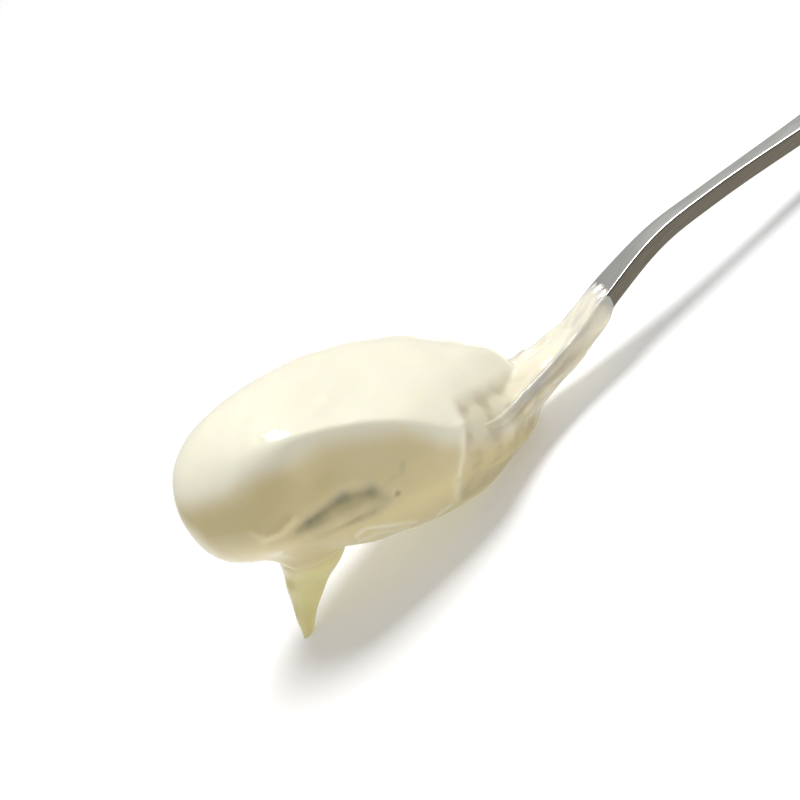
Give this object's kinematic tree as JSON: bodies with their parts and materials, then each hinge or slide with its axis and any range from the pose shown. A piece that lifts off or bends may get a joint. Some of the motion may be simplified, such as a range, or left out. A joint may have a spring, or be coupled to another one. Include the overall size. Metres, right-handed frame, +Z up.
{
  "type": "spoonful of yogurt",
  "caption": "Steel dessert spoon heaped with thick creamy yogurt, which coats the underside and neck and hangs down in a drip; it lies at rest with the yogurt up.",
  "frame": {"origin": "centre of the footprint, on the surface that the spoon lies on", "axes": "+X along the spoon towards the end of the handle, +Y towards the far side, +Z up"},
  "size_m": [0.198, 0.0436, 0.0463],
  "materials": {
    "steel": "satin",
    "yogurt": "smooth and moist"
  },
  "bodies": {
    "root": {"spoon": "steel", "yogurt": "yogurt"}
  },
  "joints": []
}
